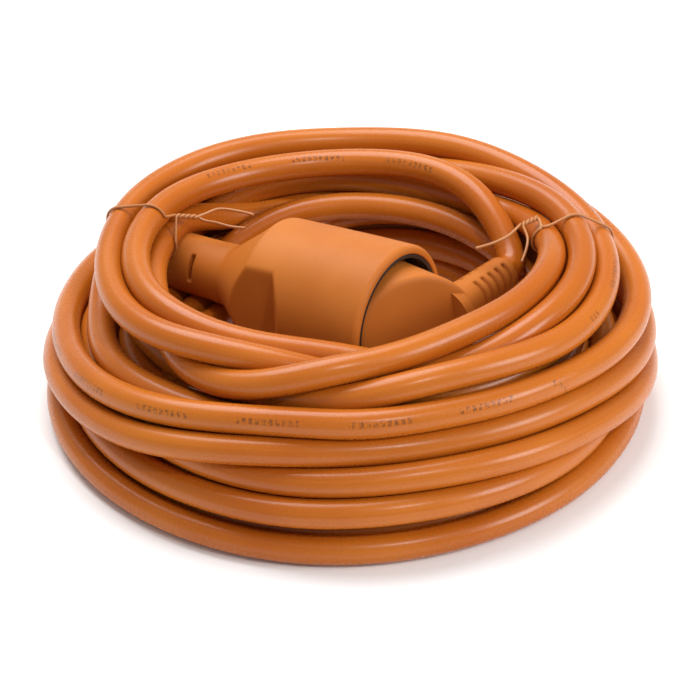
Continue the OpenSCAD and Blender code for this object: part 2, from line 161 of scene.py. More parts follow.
# Each turn runs clockwise from the rear: azimuth, distance from the middle, height
TURNS = [
    [(90, 90, 21.5), (0, 90.4, 21), (-45, 79.5, 29.5), (-90, 78.5, 32),
     (-135, 87, 25.5), (-180, 89.5, 14.5)],
    [(90, 90.4, 4.5), (0, 88, 4.5), (-45, 82, 4.5), (-90, 88.2, 4.5), (-180, 90, 5)],
    [(90, 81.2, 4.5), (0, 78.3, 4.5), (-90, 79.4, 4.5), (-180, 81.2, 4.5)],
    [(90, 72.4, 4.5), (0, 69.5, 4.5), (-90, 70.6, 4.5), (-180, 72.5, 4.5)],
    [(90, 63.6, 4.5), (0, 60.8, 4.5), (-90, 61.8, 4.5), (-180, 62.5, 4.5), (-225, 57.5, 4.5)],
    [(90, 61, 12), (0, 57, 12), (-90, 62, 12), (-180, 57, 12)],
    [(90, 70, 12), (0, 65.5, 12), (-90, 71, 12), (-180, 65.5, 12)],
    [(90, 79, 12), (0, 74, 12), (-90, 82, 11.5), (-180, 73.5, 12)],
    [(90, 84, 20), (0, 82.8, 11.5), (-45, 82.6, 15), (-90, 85.3, 19),
     (-135, 85.5, 13), (-180, 82, 13)],
    [(90, 75.5, 20), (0, 78.5, 20), (-90, 76.5, 20), (-180, 70.5, 20)],
    [(90, 66.8, 20), (0, 69.8, 20), (-90, 67.8, 20), (-180, 62, 20)],
    [(90, 58.5, 20), (0, 61, 20), (-90, 62, 28), (-140, 69, 31), (-180, 68, 25),
     (-205, 63, 19.5), (-235, 55, 27)],
    [(90, 49.5, 36.5), (45, 53, 36), (0, 60, 30), (-90, 57.5, 36), (-180, 57, 22),
     (-205, 54, 19.5)],
    [(90, 60, 28.5), (0, 68.5, 29), (-90, 65.7, 35.5), (-140, 77.5, 33), (-180, 77, 28)],
    [(90, 80.5, 37.5), (0, 88.5, 34.5), (-45, 77.5, 37.5), (-90, 72.6, 39),
     (-135, 83.5, 35), (-180, 87.5, 23), (-210, 91, 19)],
    [(90, 90, 13), (0, 89, 13), (-45, 82.5, 22), (-90, 82.6, 25), (-180, 79, 20),
     (-205, 77, 17), (-235, 69, 31)],
    [(90, 63.5, 39.5), (45, 62, 41), (0, 62.6, 50.8), (-45, 58.3, 51.2), (-75, 62, 51.2),
     (-90, 66, 51.2), (-113, 71.5, 47), (-135, 67.5, 42), (-180, 61.5, 40.5)],
    [(90, 67.5, 31), (0, 72, 37), (-90, 60, 41), (-113, 63.5, 46), (-135, 70, 48.5),
     (-180, 73, 48.5), (-225, 73.5, 47.5)],
    [(90, 71.5, 47), (45, 76, 46.5), (0, 78, 44.5), (-45, 70, 44.3), (-90, 63, 45),
     (-113, 63.5, 38), (-135, 63, 35), (-180, 70, 38)],
    [(90, 72, 38.5), (45, 65, 46), (0, 70, 49), (-45, 64.5, 48), (-90, 55.5, 44.5),
     (-113, 57, 47), (-135, 63, 50.3), (-180, 66, 51), (-225, 60, 49.3)],
    [(90, 56.4, 48.3), (65, 57, 48.6)],
]
STEP = 5.0

# Azimuths of a full turn, of the rear where a row starts, and points per turn
FULL = 360
REAR = 90
FINE_POINTS = 8000
# Length that the cord runs straight on from each moulded end
STRAIGHT = 4
# Points of the wound line that the lead to the socket stands for
LEAD_POINTS = 12


def through(keys, values, at):
    """A smooth line through rows of values at rising keys: cubic pieces whose slope at a
    key is the slope between its two neighbours."""
    keys, values = np.asarray(keys, float), np.asarray(values, float)
    slope = np.empty_like(values)
    slope[1:-1] = (values[2:] - values[:-2]) / (keys[2:] - keys[:-2])[:, None]
    slope[0] = (values[1] - values[0]) / (keys[1] - keys[0])
    slope[-1] = (values[-1] - values[-2]) / (keys[-1] - keys[-2])
    i = np.clip(np.searchsorted(keys, at, side="right") - 1, 0, len(keys) - 2)
    gap = (keys[i + 1] - keys[i])[:, None]
    t = (at - keys[i])[:, None] / gap
    return ((2 * t ** 3 - 3 * t ** 2 + 1) * values[i] + (t ** 3 - 2 * t ** 2 + t) * gap * slope[i]
            + (3 * t ** 2 - 2 * t ** 3) * values[i + 1] + (t ** 3 - t ** 2) * gap * slope[i + 1])


def evenly(points, step):
    """The same line with its points a near-equal step apart."""
    gaps = np.linalg.norm(np.diff(points[:, :3], axis=0), axis=1)
    run = np.concatenate([[0], np.cumsum(gaps)])
    count = max(2, int(round(run[-1] / step)) + 1)
    at = np.linspace(0, run[-1], count)
    return np.stack([np.interp(at, run, points[:, k]) for k in range(points.shape[1])], axis=1)


def wound_line():
    """Azimuth falls by a full turn for each row, while distance and height pass smoothly
    through the row's values. The two routes join on at the ends."""
    azimuth, ring = [], []
    for turn, row in enumerate(TURNS):
        for a, r, z in row:
            azimuth.append(FULL * turn + REAR - a)
            ring.append((r, z))
    fine = np.linspace(azimuth[0], azimuth[-1], len(TURNS) * FULL)
    rz = through(azimuth, ring, fine)
    around = np.radians(REAR - fine)
    coil = np.stack([rz[:, 0] * np.cos(around), rz[:, 0] * np.sin(around), rz[:, 1]], axis=1)
    start = np.array([TAIL_END, TAIL_END + STRAIGHT * TAIL_DIR] + SOCKET_ROUTE)
    finish = np.array(PLUG_ROUTE + [list(BOOT_EXIT + STRAIGHT * BOOT_DIR), list(BOOT_EXIT)])
    line = np.concatenate([start, coil[LEAD_POINTS:], finish])
    run = np.concatenate([[0], np.cumsum(np.linalg.norm(np.diff(line, axis=0), axis=1))])
    return evenly(through(run, line, np.linspace(0, run[-1], FINE_POINTS)), STEP)


# Outline of the two moulded ends along the socket axis, with the space that the cord keeps
OUTLINE_X = np.array([-NECK_TO - 6, -NECK_TO, -NECK_FROM, -52, -BARREL_L, -2, 0, 4, 17, 17.01])
OUTLINE_R = np.array([6.2, 6.2, 9.2, 16.9, 22.6, 24, 24, 17.6, 16, -40])
CLEAR = 0.25
BOOT_CLEAR = 0.9
# Distance given to an outline where there is nothing to keep off
NOTHING = -40
# First points of the line, which lie in the tail they come from
OWN_POINTS = 5
SOFT_TAIL = np.array([axis_point([-NECK_TO - TAIL_R * math.sin(a), TAIL_R * (1 - math.cos(a)), 0])
                      for a in np.linspace(0, TAIL_ANGLE, 5)])


def keep_off_tail(p):
    """Points too near the bent tail of the neck go straight out from it. The cord's own
    first stretch comes out of it, so that is left alone."""
    out = p.copy()
    for knot in SOFT_TAIL:
        away = p - knot
        far = np.linalg.norm(away, axis=1)
        short = np.maximum(NECK_END_R + CORD_R + CLEAR - far, 0)
        short[:OWN_POINTS] = 0
        out += away * (short / np.maximum(far, 0.1))[:, None]
    return out


def keep_off_ends(p, shift):
    """Points inside the outline of the moulded ends go straight out from its axis. The
    plug's half of it, ahead of the mouth, stands shift further out."""
    local = (p - MOUTH) @ AXIS
    x, y, z = local.T
    x = np.where(x > 0, np.maximum(x - shift, 0.01), x)
    away = np.hypot(y, z)
    need = np.interp(x, OUTLINE_X, OUTLINE_R, left=NOTHING, right=NOTHING) + CORD_R + CLEAR
    low = (need > away) & (away > 0.1)
    grow = np.where(low, need / np.maximum(away, 0.1), 1.0)
    local = np.stack([local[:, 0], y * grow, z * grow], axis=1)
    # the boot, along its own axis
    bx = local[:, 0] - BOOT_X - shift
    off = np.hypot(bx, local[:, 2])
    along = local[:, 1]
    boot_r = np.interp(along, [12, BOOT_END], [BOOT_ROOT_R, BOOT_END_R],
                       left=NOTHING, right=NOTHING)
    need = boot_r + CORD_R + BOOT_CLEAR
    low = (need > off) & (off > 0.1)
    grow = np.where(low, need / np.maximum(off, 0.1), 1.0)
    local[:, 0] = np.where(low, BOOT_X + shift + bx * grow, local[:, 0])
    local[:, 2] *= grow
    return MOUTH + local @ AXIS.T


def touching(p, reach):
    """Pairs of a point and a stretch of the line that lie within reach of each other."""
    square = (p ** 2).sum(1)
    near = square[:, None] + square[None, :] - 2 * p @ p.T < reach ** 2
    i, j = np.nonzero(near)
    apart = (np.abs(i - j) > 4) & (np.abs(i - j - 1) > 4) & (j < len(p) - 1)
    return i[apart], j[apart]


def push_apart(p, i, j, gap, share):
    """Every pair closer than gap moves apart, the point and the stretch by half each."""
    a, b = p[j], p[j + 1]
    span = b - a
    t = np.clip(((p[i] - a) * span).sum(1) / (span ** 2).sum(1), 0, 1)
    away = p[i] - (a + t[:, None] * span)
    far = np.linalg.norm(away, axis=1)
    push = np.maximum(gap - far, 0) / np.maximum(far, 1e-6) * share
    move = away * push[:, None]
    count = len(p)
    out = np.zeros_like(p)
    for k in range(3):
        out[:, k] = (np.bincount(i, move[:, k], count)
                     - np.bincount(j, move[:, k] * (1 - t), count)
                     - np.bincount(j + 1, move[:, k] * t, count))
    return out


def ease(p, amount):
    """Takes the wiggles out of a line and leaves its bends: each point moves against the
    change of bend between its neighbours."""
    bend = np.zeros_like(p)
    bend[1:-1] = 0.5 * (p[:-2] + p[2:]) - p[1:-1]
    change = np.zeros_like(p)
    change[2:-2] = bend[2:-2] - 0.5 * (bend[1:-3] + bend[3:-1])
    return p + amount * change


TIGHTEST = 35.0

# How the line settles: rounds, and what each round does to it
ROUNDS = 700
EASED = 0.45
PULLED_BACK = 0.03
PUSHED = 0.22
TOUCH_GAP = 0.04
FELT = 7
FEEL_EVERY = 10
RESPACE_EVERY = 40


def open_bends(p, step):
    """Where the line bends tighter than the cord can, its point moves towards the chord."""
    bend = np.zeros_like(p)
    bend[1:-1] = 0.5 * (p[:-2] + p[2:]) - p[1:-1]
    size = np.linalg.norm(bend, axis=1)
    most = step ** 2 / (2 * TIGHTEST)
    extra = np.maximum(size - most, 0) / np.maximum(size, 1e-9)
    return p + 0.5 * bend * extra[:, None]


def inside_coil(p):
    """Above the floor, under the coil's top and inside its outer side."""
    away = np.hypot(p[:, 0], p[:, 1])
    most = COIL_OUTER_R - CORD_R - 0.05
    back = np.minimum(1, most / np.maximum(away, 1))
    return np.stack([p[:, 0] * back, p[:, 1] * back,
                     np.clip(p[:, 2], CORD_R + 0.02, COIL_H - CORD_R)], axis=1)


def settle(line, rounds):
    """Lets the wound line find its place: turns that meet push each other off, bends open
    to what the cord can do, and all stays off the floor and the moulded ends."""
    p = line.copy()
    aim = line.copy()
    ends = (TAIL_END, TAIL_END + STEP * TAIL_DIR), (BOOT_EXIT, BOOT_EXIT + STEP * BOOT_DIR)
    for turn in range(rounds):
        late = turn / rounds
        if turn % FEEL_EVERY == 0:
            i, j = touching(p, CORD_D + FELT)
        p = ease(p, EASED)
        p = open_bends(p, STEP)
        p += (PULLED_BACK * (1 - late) ** 2) * (aim - p)
        p += push_apart(p, i, j, CORD_D + TOUCH_GAP, PUSHED)
        for shift in (0.0, PLUG_TRAVEL):
            p = keep_off_ends(p, shift)
        p = keep_off_tail(p)
        p = inside_coil(p)
        p[0], p[1] = ends[0]
        p[-1], p[-2] = ends[1]
        if turn % RESPACE_EVERY == RESPACE_EVERY - 1:
            both = evenly(np.concatenate([p, aim], axis=1), STEP)
            p, aim = both[:, :3], both[:, 3:]
    return p


def make_line():
    """The cord's settled middle line, from the socket's tail to the plug's boot."""
    return settle(wound_line(), ROUNDS)


# ---------------------------------------------------------------- surfaces

UP = np.array([0.0, 0.0, 1.0])


def unit(v):
    return v / np.linalg.norm(v, axis=-1, keepdims=True)


def frames(line, ref=UP):
    """Heading, side and top at every point of a line that never points along ref. The
    side is square to both the heading and ref, and the top to the heading and the side."""
    heading = unit(np.gradient(line, axis=0))
    side = unit(np.cross(heading, ref))
    return heading, side, np.cross(side, heading)


def smooth_line(points, step):
    """A smooth line through points, with its own points a step apart."""
    points = np.asarray(points, float)
    run = np.concatenate([[0], np.cumsum(np.linalg.norm(np.diff(points, axis=0), axis=1))])
    count = max(4, int(round(run[-1] / step)) + 1)
    return through(run, points, np.linspace(0, run[-1], count))


def tube_rings(line, radius, sides, ref=UP):
    """Rings of points: the line's point plus radius times the cosine of the angle along the
    side and its sine along the top. Radius may be one number, one per point or a grid."""
    _, side, top = frames(line, ref)
    angle = np.linspace(0, 2 * math.pi, sides, endpoint=False)
    radius = np.broadcast_to(np.asarray(radius, float).reshape(
        (-1, 1) if np.ndim(radius) == 1 else np.shape(radius)), (len(line), sides))
    return (line[:, None, :] + radius[..., None]
            * (np.cos(angle)[None, :, None] * side[:, None, :]
               + np.sin(angle)[None, :, None] * top[:, None, :]))


def grid_piece(name, rings, joined=False, uv=None):
    """A closed skin over a grid of points in millimetres: each row is a ring, and rows
    follow each other. Joined rings meet end to end, and others get a point at each end,
    at the middle of the end ring. The mesh is in metres."""
    rows, sides = rings.shape[:2]
    verts = rings.reshape(-1, 3)
    a = np.arange(rows * sides).reshape(rows, sides)
    b = np.roll(a, -1, axis=1)
    if joined:
        c, d = np.roll(a, -1, axis=0), np.roll(b, -1, axis=0)
        quads = np.stack([a, b, d, c], axis=-1).reshape(-1, 4)
        faces = quads.tolist()
    else:
        quads = np.stack([a[:-1], b[:-1], b[1:], a[1:]], axis=-1).reshape(-1, 4)
        verts = np.concatenate([verts, [rings[0].mean(0)], [rings[-1].mean(0)]])
        first, last = len(verts) - 2, len(verts) - 1
        near = np.stack([np.full(sides, first), b[0], a[0]], axis=1)
        far = np.stack([np.full(sides, last), a[-1], b[-1]], axis=1)
        faces = quads.tolist() + near.tolist() + far.tolist()
    mesh = bpy.data.meshes.new(name)
    mesh.from_pydata((verts * MM).tolist(), [], faces)
    if uv is not None:
        along, turn = uv
        layer = mesh.uv_layers.new(name="UVMap")
        corner = np.zeros(len(mesh.loops), np.int32)
        mesh.loops.foreach_get("vertex_index", corner)
        row = np.minimum(corner // sides, rows - 1)
        col = corner % sides
        row = np.where(corner >= rows * sides, np.where(corner == rows * sides, 0, rows - 1), row)
        u = along[row]
        v = col / sides + turn[row]
        # the last side of each ring ends at one whole turn
        quad_corner = np.arange(len(corner)) % 4
        last_side = (np.arange(len(corner)) < len(quads) * 4) & np.repeat(
            np.arange(len(faces)) % sides == sides - 1, [len(f) for f in faces])
        v = np.where(last_side & (col == 0) & ((quad_corner == 1) | (quad_corner == 2)), v + 1, v)
        layer.data.foreach_set("uv", np.stack([u, v], axis=1).astype(np.float32).ravel())
    mesh.polygons.foreach_set("use_smooth", np.ones(len(faces), bool))
    mesh.update()
    if not joined:
        # a sharp rim keeps the shading of the skin apart from the fans that close the ends
        pair = np.zeros(len(mesh.edges) * 2, np.int32)
        mesh.edges.foreach_get("vertices", pair)
        ring = pair.reshape(-1, 2) // sides
        rim = (ring[:, 0] == ring[:, 1]) & ((ring[:, 0] == 0) | (ring[:, 0] == rows - 1))
        mesh.edges.foreach_set("use_edge_sharp", rim)
    work = bmesh.new()
    work.from_mesh(mesh)
    bmesh.ops.recalc_face_normals(work, faces=work.faces)
    work.to_mesh(mesh)
    work.free()
    piece = bpy.data.objects.new(name, mesh)
    bpy.context.scene.collection.objects.link(piece)
    return piece


def soft_least(a, b, k):
    """The lesser of two values, rounded over about k where they cross."""
    low = np.minimum(a, b)
    return low - k * np.log(np.exp(-(a - low) / k) + np.exp(-(b - low) / k))


def step_up(x, start, end):
    """Rises smoothly from 0 at start to 1 at end."""
    t = np.clip((x - start) / (end - start), 0, 1)
    return t * t * (3 - 2 * t)


# ---------------------------------------------------------------- shader words


class Value:
    """A number that a socket gives, with the sums of arithmetic written as sums."""

    def __init__(self, look, socket):
        self.look = look
        self.socket = socket

    def _sum(self, operation, first, second):
        return self.look.make("ShaderNodeMath", {"operation": operation}, {0: first, 1: second})

    def __add__(self, other):
        return self._sum("ADD", self, other)

    __radd__ = __add__

    def __sub__(self, other):
        return self._sum("SUBTRACT", self, other)

    def __rsub__(self, other):
        return self._sum("SUBTRACT", other, self)

    def __mul__(self, other):
        return self._sum("MULTIPLY", self, other)

    __rmul__ = __mul__

    def __truediv__(self, other):
        return self._sum("DIVIDE", self, other)

    def under(self, other):
        return self._sum("LESS_THAN", self, other)

    def part(self):
        return self.look.make("ShaderNodeMath", {"operation": "FRACT"}, {0: self})

    def size(self):
        return self.look.make("ShaderNodeMath", {"operation": "ABSOLUTE"}, {0: self})


class Look:
    """A material with one Principled shader, and a short way to add nodes to it."""

    def __init__(self, name, **fixed):
        self.material = bpy.data.materials.new(name)
        self.material.use_nodes = True
        self.tree = self.material.node_tree
        self.tree.nodes.clear()
        self.shader = self.tree.nodes.new("ShaderNodeBsdfPrincipled")
        out = self.tree.nodes.new("ShaderNodeOutputMaterial")
        self.tree.links.new(self.shader.outputs[0], out.inputs["Surface"])
        for socket, value in fixed.items():
            self.shader.inputs[socket.replace("_", " ")].default_value = value

    def make(self, kind, settings, inputs, out=0):
        """Adds a node: its settings first, then the values or links of its sockets."""
        node = self.tree.nodes.new(kind)
        for name, value in settings.items():
            if name == "stops":
                ramp = node.color_ramp
                while len(ramp.elements) < len(value):
                    ramp.elements.new(0.5)
                for element, (place, color) in zip(ramp.elements, value):
                    element.position = place
                    element.color = color
            else:
                setattr(node, name, value)
        for socket, value in inputs.items():
            if isinstance(value, Value):
                self.tree.links.new(value.socket, node.inputs[socket])
            else:
                node.inputs[socket].default_value = value
        return Value(self, node.outputs[out])

    def feed(self, socket, value):
        self.tree.links.new(value.socket, self.shader.inputs[socket])

    def place(self):
        return self.make("ShaderNodeTexCoord", {}, {}, "Object")

    def noise(self, where, scale, detail=3.0, rough=0.5, out="Fac"):
        return self.make("ShaderNodeTexNoise", {}, {"Vector": where, "Scale": scale,
                         "Detail": detail, "Roughness": rough}, out)

    def range(self, value, low, high, new_low, new_high):
        return self.make("ShaderNodeMapRange", {}, {"Value": value, "From Min": low,
                         "From Max": high, "To Min": new_low, "To Max": new_high})

    def mix(self, amount, first, second):
        return self.make("ShaderNodeMix", {"data_type": "RGBA"},
                         {"Factor": amount, 6: first, 7: second}, 2)

    def bump(self, height, strength, distance):
        self.feed("Normal", self.make("ShaderNodeBump", {}, {"Height": height,
                  "Strength": strength, "Distance": distance}))


SHEATH_LIT = (0.52, 0.145, 0.012, 1)
SHEATH_DEEP = (0.43, 0.1, 0.007, 1)
PRINT_BROWN = (0.16, 0.05, 0.015, 1)
# Marks along the cord, in metres: one stroke, one group of strokes, and how much of each
# shows. The band's half width is in turns round the cord.
STROKE_PITCH = 0.0019
STROKE_SHARE = 0.62
GROUP_PITCH = 0.031
GROUP_SHARE = 0.56
MARK_HALF_TURN = 0.034
MARK_STRENGTH = 0.8
MOULD_LIT = (0.55, 0.17, 0.024, 1)
MOULD_DEEP = (0.47, 0.13, 0.016, 1)


def sheath_look():
    """Extruded soft PVC: slow changes of tone, a fine haze on the gloss, faint draw marks
    along the cord, and a faded line of meaningless marks that follows it."""
    look = Look("cord_pvc", Specular_IOR_Level=0.34)
    where = look.place()
    slow = look.noise(where, 22, 2)
    fine = look.noise(where, 900, 2)
    uv = look.make("ShaderNodeUVMap", {"uv_map": "UVMap"}, {})
    along = look.make("ShaderNodeSeparateXYZ", {}, {0: uv}, "X")
    turn = look.make("ShaderNodeSeparateXYZ", {}, {0: uv}, "Y")
    streaks = look.make("ShaderNodeCombineXYZ", {}, {"X": along * 3, "Y": turn * 40, "Z": 0.0})
    drawn = look.noise(streaks, 1.0, 3)
    tone = look.range(slow * 0.7 + drawn * 0.3, 0.35, 0.65, 0.0, 1.0)
    color = look.mix(tone, SHEATH_DEEP, SHEATH_LIT)
    # marks: short strokes in groups, on a band a fifteenth of the way round
    stroke = (along / STROKE_PITCH).part()
    thick = look.noise(look.make("ShaderNodeCombineXYZ", {}, {"X": along * 1000, "Y": turn * 30,
                       "Z": 0.0}), 1.0, 1)
    group = (along / GROUP_PITCH).part().under(GROUP_SHARE)
    band = ((turn + 50).part() - 0.5).size().under(MARK_HALF_TURN)
    mark = stroke.under(STROKE_SHARE) * group * band
    mark = mark * look.range(thick, 0.4, 0.6, 0.0, MARK_STRENGTH)
    look.feed("Base Color", look.mix(mark, color, PRINT_BROWN))
    look.feed("Roughness", look.range(slow * 0.5 + fine * 0.5, 0.3, 0.7, 0.22, 0.33))
    look.bump(fine * 0.3 + drawn * 0.7, 0.05, 0.0001)
    return look.material


def mould_look():
    """Moulded soft PVC: an even satin face with a fine grain and slow changes of tone."""
    look = Look("moulded_pvc", Specular_IOR_Level=0.22)
    where = look.place()
    slow = look.noise(where, 30, 2)
    fine = look.noise(where, 1400, 3)
    tone = look.range(slow, 0.35, 0.65, 0.0, 1.0)
    look.feed("Base Color", look.mix(tone, MOULD_DEEP, MOULD_LIT))
    look.feed("Roughness", look.range(fine, 0.3, 0.7, 0.46, 0.58))
    look.bump(fine, 0.15, 0.0002)
    return look.material


def plain_look(name, dark, light, rough, metal=0.0, grain=700):
    """A finish with two near tones, a grain in its gloss and a fine bump."""
    look = Look(name, Metallic=metal)
    where = look.place()
    slow = look.noise(where, 60, 3)
    fine = look.noise(where, grain, 3)
    look.feed("Base Color", look.mix(look.range(slow, 0.35, 0.65, 0.0, 1.0), dark, light))
    look.feed("Roughness", look.range(fine, 0.3, 0.7, rough - 0.06, rough + 0.08))
    look.bump(fine, 0.1, 0.0001)
    return look.material


# ---------------------------------------------------------------- cord pieces

CORD_SIDES = 20
RING_STEP = 4.0
TAIL_LENGTH = 68.0

# Where the printed line lies round the cord, in turns, by how many turns have been wound
PRINT_AT = np.array([(0, 0.75), (14.36, 0.75), (14.361, 0.4), (14.95, 0.46), (14.951, 0.75),
                     (18.14, 0.75), (18.141, 0.34), (18.32, 0.38), (18.321, 0.75),
                     (19.85, 0.75), (19.851, 0.2), (20.12, 0.08), (20.121, 0.75)])


def turns_wound(line):
    """How many turns have gone by at each point, from the rear."""
    azimuth = np.unwrap(np.arctan2(line[:, 1], line[:, 0]))
    return (math.pi / 2 - azimuth) / (2 * math.pi)


def make_cord(line, look):
    """The cord in two pieces that share a ring: all the turns, and the short tail at the
    plug."""
    fine = smooth_line(line, RING_STEP)
    rings = tube_rings(fine, CORD_R, CORD_SIDES)
    run = np.concatenate([[0], np.cumsum(np.linalg.norm(np.diff(fine, axis=0), axis=1))])
    cut = int(np.argmin(np.abs(run[-1] - TAIL_LENGTH - run)))
    turn = 0.5 - np.interp(turns_wound(fine), PRINT_AT[:, 0], PRINT_AT[:, 1])
    coil_line, tail_line = fine[:cut + 1], fine[cut:]
    coil = grid_piece("cord_coil", rings[:cut + 1], uv=(run[:cut + 1] * MM, turn[:cut + 1]))
    tail = grid_piece("cord_plug_end", rings[cut:], uv=(run[cut:] * MM, turn[cut:]))
    for piece in (coil, tail):
        piece.data.materials.append(look)
    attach(coil, "root")
    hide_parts("coil", "socket_lead")
    tuple(coil_line[0] * MM)
    (coil_line * MM).tolist()
    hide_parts("plug_lead")
    tuple(tail_line[-1] * MM)
    (tail_line[::-1] * MM).tolist()
    tuple(tail_line[-1] * MM)
    tuple(tail_line[0] * MM)
    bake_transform(tail)
    return fine


# ---------------------------------------------------------------- socket moulding

FLATS_FROM = 27.5
FLAT_HALF = 17.0
FLAT_WALL = math.tan(math.radians(48))
SLOTS_AT = (NECK_FROM + 11, NECK_FROM + 20.5)
SLOT_W = 1.5
SLOT_HALF_ANGLE = math.radians(28)
SLOT_DEPTH = 2.8
SLOT_TURN = math.radians(22)
MOUTH_EDGE = 1.8
BLEND_R = 0.9
SOCKET_SIDES = 168
# The inside, from the tail's end to the mouth: distance from the mouth, and radius
BORE_R = CORD_R + 0.05
SOCKET_INSIDE = [(NECK_TO, BORE_R), (52.5, BORE_R), (48.5, 10.3), (44.5, 13.3), (40.5, 13.3),
                 (40.5, 14.55), (19.55, 14.55), (19.55, 21.15), (0.5, 21.15), (0.12, 21.25),
                 (0, 21.6)]


def barrel_r(s):
    """The outside: a barrel that swells a little towards its rounded mouth, a shoulder that
    falls in an easing slope, and a neck that tapers to its end."""
    barrel = np.interp(s, [0, 2, 15, 29, BARREL_L, 200],
                       [23.75, 23.75, 23.5, 23, BARREL_END_R, BARREL_END_R])
    t = np.clip((s - BARREL_L) / SHOULDER_L, 0, 1)
    slope = NECK_ROOT_R + (BARREL_END_R - NECK_ROOT_R) * (1 - t) * (1 - 0.15 * t * (1 - t))
    neck = NECK_ROOT_R - (NECK_ROOT_R - NECK_END_R) * step_up(s, NECK_FROM - 3, NECK_TO - 6) ** 0.8
    shoulder = np.where(s < BARREL_L, 60.0, slope)
    outer = soft_least(barrel, np.where(s < BARREL_L, BARREL_END_R + (BARREL_L - s) * 0.9, shoulder),
                       0.18)
    joined = neck + BLEND_R * np.log1p(np.exp((outer - neck) / BLEND_R))
    return np.where(s < NECK_FROM - 14, outer, joined)


def make_socket(look):
    """One closed skin: rows of the profile follow the axis, which bends at the soft tail.
    The grip flats cut the round at a set distance from the axis, and the slots sink in."""
    total = NECK_TO + TAIL_R * TAIL_ANGLE
    lip = np.linspace(0, math.pi / 2, 9)
    edge_s = MOUTH_EDGE * (1 - np.sin(lip[::-1]))
    edge_r = MOUTH_R - 0.05 - MOUTH_EDGE * (1 - np.cos(lip[::-1]))
    body_s = np.concatenate([np.linspace(2, 26, 13), np.linspace(26.6, 35, 29),
                             np.linspace(35.6, 60, 50), np.linspace(60.5, SLOTS_AT[0] - 1.4, 16),
                             np.linspace(SLOTS_AT[0] - 1.2, SLOTS_AT[0] + 1.2, 17),
                             np.linspace(SLOTS_AT[0] + 1.7, SLOTS_AT[1] - 1.4, 9),
                             np.linspace(SLOTS_AT[1] - 1.2, SLOTS_AT[1] + 1.2, 17),
                             np.linspace(SLOTS_AT[1] + 1.7, total - 1.0, 20)])
    end_s = total - 1.0 + np.sin(np.linspace(0.2, math.pi / 2, 6))
    end_r = NECK_END_R - 1.0 + np.cos(np.linspace(0.2, math.pi / 2, 6))
    outer_s = np.concatenate([edge_s, body_s, end_s])
    outer_r = np.concatenate([edge_r, barrel_r(body_s), end_r])
    inner = np.array([(total, BORE_R), (total - 4, BORE_R)] + SOCKET_INSIDE)
    s = np.concatenate([outer_s, inner[:, 0]])
    r = np.concatenate([outer_r, inner[:, 1]])
    outside = np.concatenate([np.ones(len(outer_s)), np.zeros(len(inner))])[:, None]
    angle = np.linspace(0, 2 * math.pi, SOCKET_SIDES, endpoint=False)[None, :]
    r = np.repeat(r[:, None], angle.shape[1], axis=1)
    sg = s[:, None]
    limit = np.maximum(FLAT_HALF, MOUTH_R + 0.4 - (sg - FLATS_FROM) * FLAT_WALL)
    limit = np.where(sg < FLATS_FROM, 60.0, limit)
    flat_r = limit / np.maximum(np.abs(np.cos(angle)), 0.05)
    r = np.where(outside * (sg > 3) * (sg < NECK_FROM) > 0, soft_least(r, flat_r, 0.22), r)
    for place in SLOTS_AT:
        for middle in (math.pi - SLOT_TURN, -SLOT_TURN):
            turn = np.abs((angle - middle + math.pi) % (2 * math.pi) - math.pi)
            sink = (step_up(SLOT_W / 2 + 0.2 - np.abs(sg - place), 0, 0.35)
                    * step_up(SLOT_HALF_ANGLE - turn, 0, 0.06))
            r = r - SLOT_DEPTH * sink * outside
    bend = np.clip(s - NECK_TO, 0, None) / TAIL_R
    straight = np.minimum(s, NECK_TO)
    middle = np.stack([-straight - TAIL_R * np.sin(bend), TAIL_R * (1 - np.cos(bend)), 0 * s], axis=1)
    across = np.stack([np.sin(bend), np.cos(bend), 0 * s], axis=1)
    rings = (middle[:, None, :] + (r * np.cos(angle))[..., None] * across[:, None, :]
             + (r * np.sin(angle))[..., None] * UP)
    piece = grid_piece("socket_moulding", MOUTH + rings @ AXIS.T, joined=True)
    piece.data.materials.append(look)
    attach(piece, "root")
    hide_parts("socket_shell")


RIM_X = -0.9
RIM_R = 20.48
RIM_HALF_DEPTH = 0.68
RIM_HALF_WALL = 0.63
RIM_SQUARE = 0.4


def make_liner_rim_and_gap_shade(look):
    """The front edge of the hard liner: a dark ring inside the soft mouth, which also stands for the
    shade in the gap round the plug, so it is partly painted shade.
    Its section is the cosine and sine of a turn, each raised to a low power, which makes a rounded
    square."""
    turn = np.linspace(0, 2 * math.pi, 24, endpoint=False)
    x = RIM_X + RIM_HALF_DEPTH * np.sign(np.cos(turn)) * np.abs(np.cos(turn)) ** RIM_SQUARE
    r = RIM_R + RIM_HALF_WALL * np.sign(np.sin(turn)) * np.abs(np.sin(turn)) ** RIM_SQUARE
    around = np.linspace(0, 2 * math.pi, 144, endpoint=False)[None, :]
    rings = np.stack([x[:, None] + 0 * around, r[:, None] * np.cos(around),
                      r[:, None] * np.sin(around)], axis=-1)
    piece = grid_piece("socket_liner_rim_and_gap_shade", MOUTH + rings @ AXIS.T, joined=True)
    piece.data.materials.append(look)
    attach(piece, "root")


# ---------------------------------------------------------------- plug moulding

